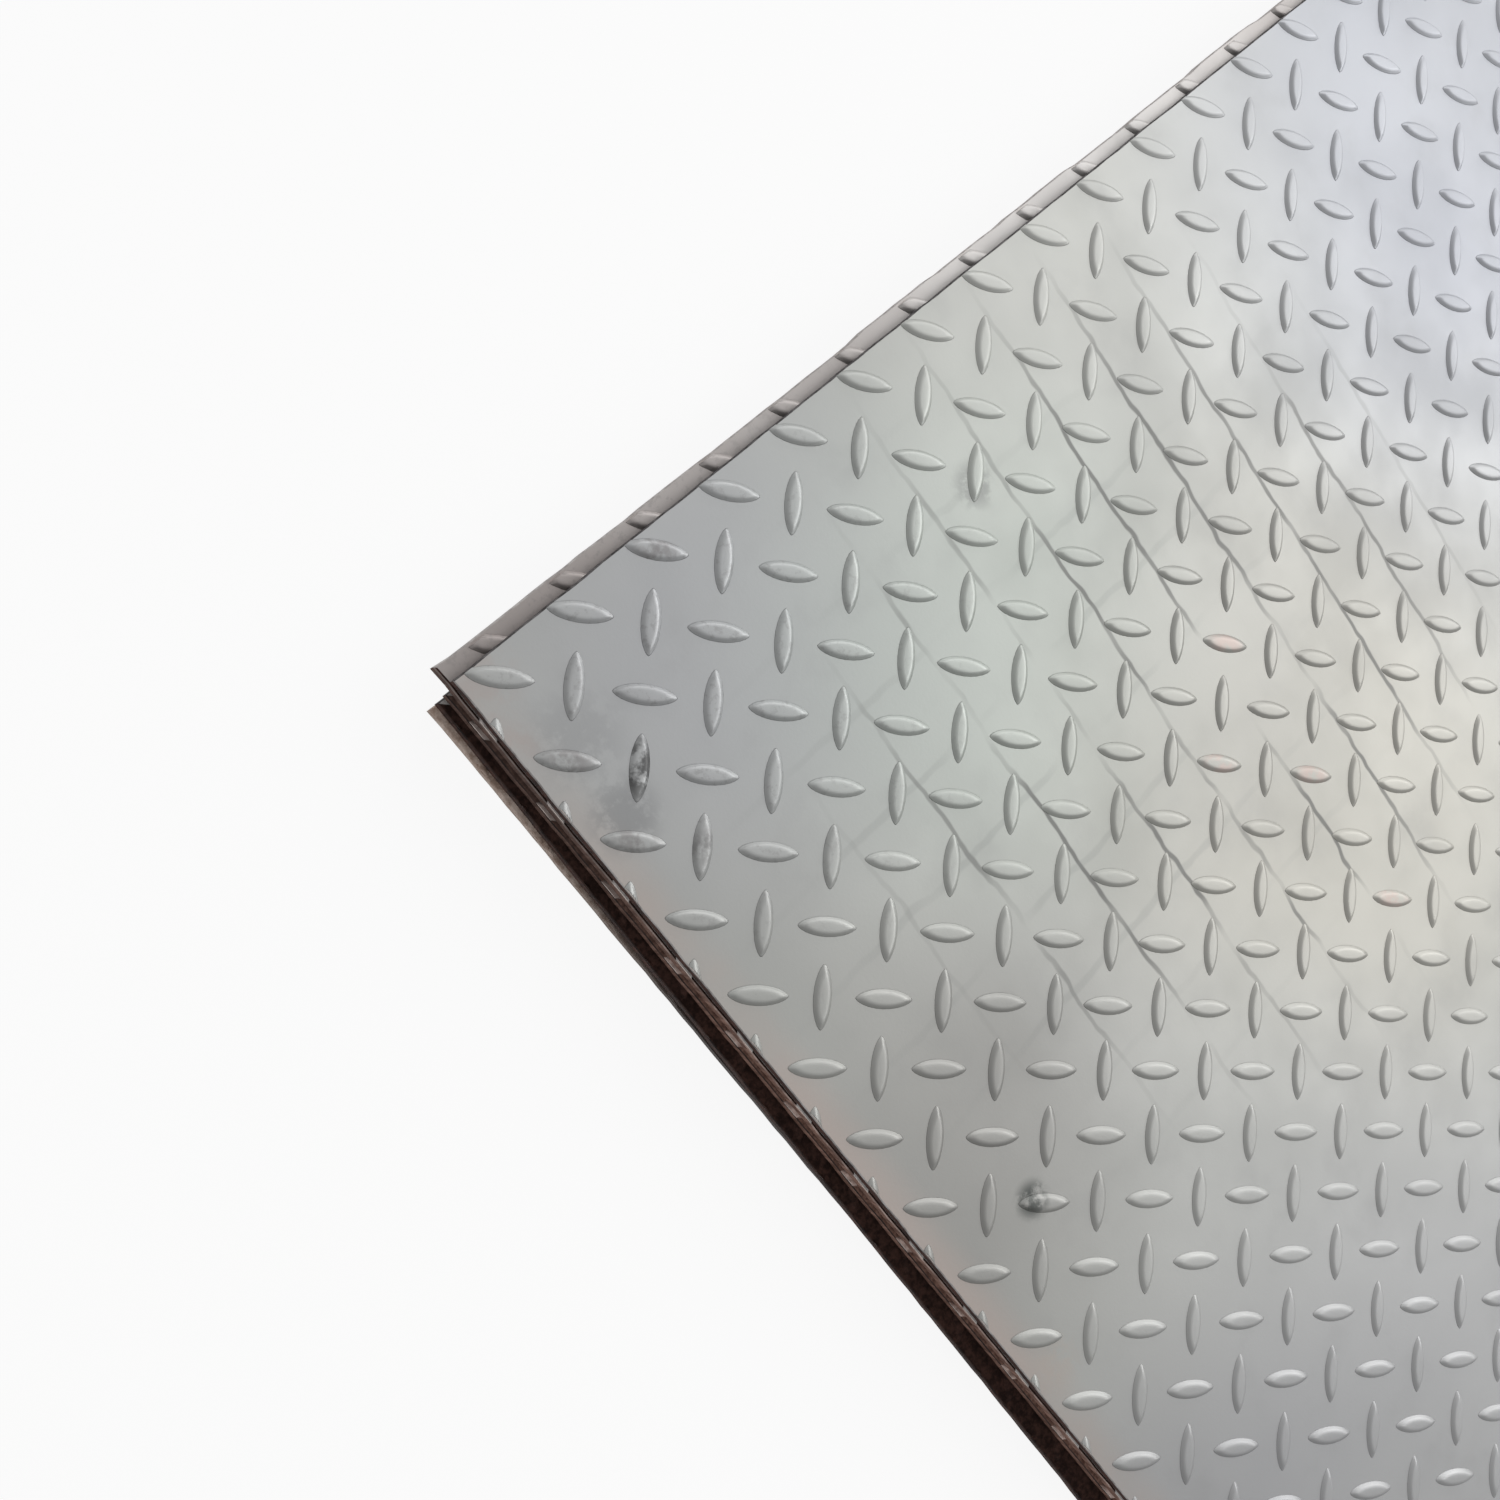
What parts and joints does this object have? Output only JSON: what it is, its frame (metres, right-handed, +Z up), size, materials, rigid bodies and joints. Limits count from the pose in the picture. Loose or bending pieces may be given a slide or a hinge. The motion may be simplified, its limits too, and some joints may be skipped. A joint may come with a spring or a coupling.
{
  "type": "stack of checkered steel plates",
  "caption": "Loose stack of hot rolled steel tread plates with raised lens-shaped lugs in a crossed pattern and dark sheared edges, lying slightly out of line.",
  "frame": {"origin": "middle of the underside of the bottom plate", "axes": "+X and +Y along the plates' edges, the pictured corner at -X -Y, +Z up through the stack"},
  "size_m": [0.823, 0.8165, 0.037],
  "materials": {
    "top_plate": "mill finish, grey",
    "second_plate": "mill finish, grey",
    "third_plate": "mill finish with dark sheared edges",
    "fourth_plate": "mill finish with dark sheared edges",
    "bottom_plate": "mill finish with a rusty rim"
  },
  "bodies": {
    "root": {"top_plate": "top_plate", "second_plate": "second_plate", "third_plate": "third_plate", "fourth_plate": "fourth_plate", "bottom_plate": "bottom_plate"}
  },
  "joints": []
}
